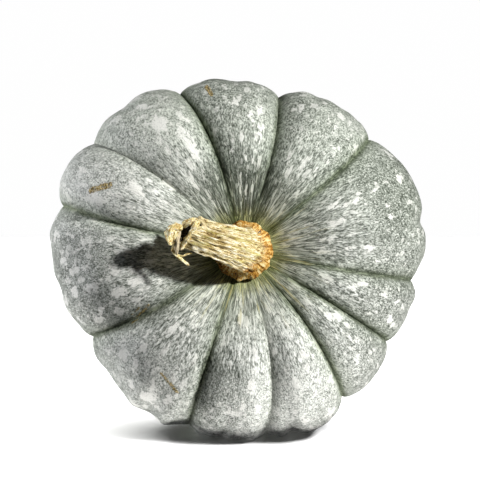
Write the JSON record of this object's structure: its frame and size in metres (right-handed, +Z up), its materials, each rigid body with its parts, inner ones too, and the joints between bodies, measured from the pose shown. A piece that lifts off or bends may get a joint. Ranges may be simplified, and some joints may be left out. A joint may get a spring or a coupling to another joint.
{
  "type": "pumpkin",
  "caption": "Grey-green ribbed pumpkin that lies on its side on a small flat spot, with a thick corky stem that bends over to a torn, fibrous end.",
  "frame": {"origin": "on the floor, under the middle of the bounding box", "axes": "+Z up; the stem's axis points to -Y and 9 degrees above level; +X is to the right of someone who faces the stem"},
  "size_m": [0.2304, 0.1798, 0.2186],
  "materials": {
    "rind": "satin",
    "corky_stem": "matte"
  },
  "bodies": {
    "root": {"fruit": "rind", "stem": "corky_stem"}
  },
  "joints": []
}
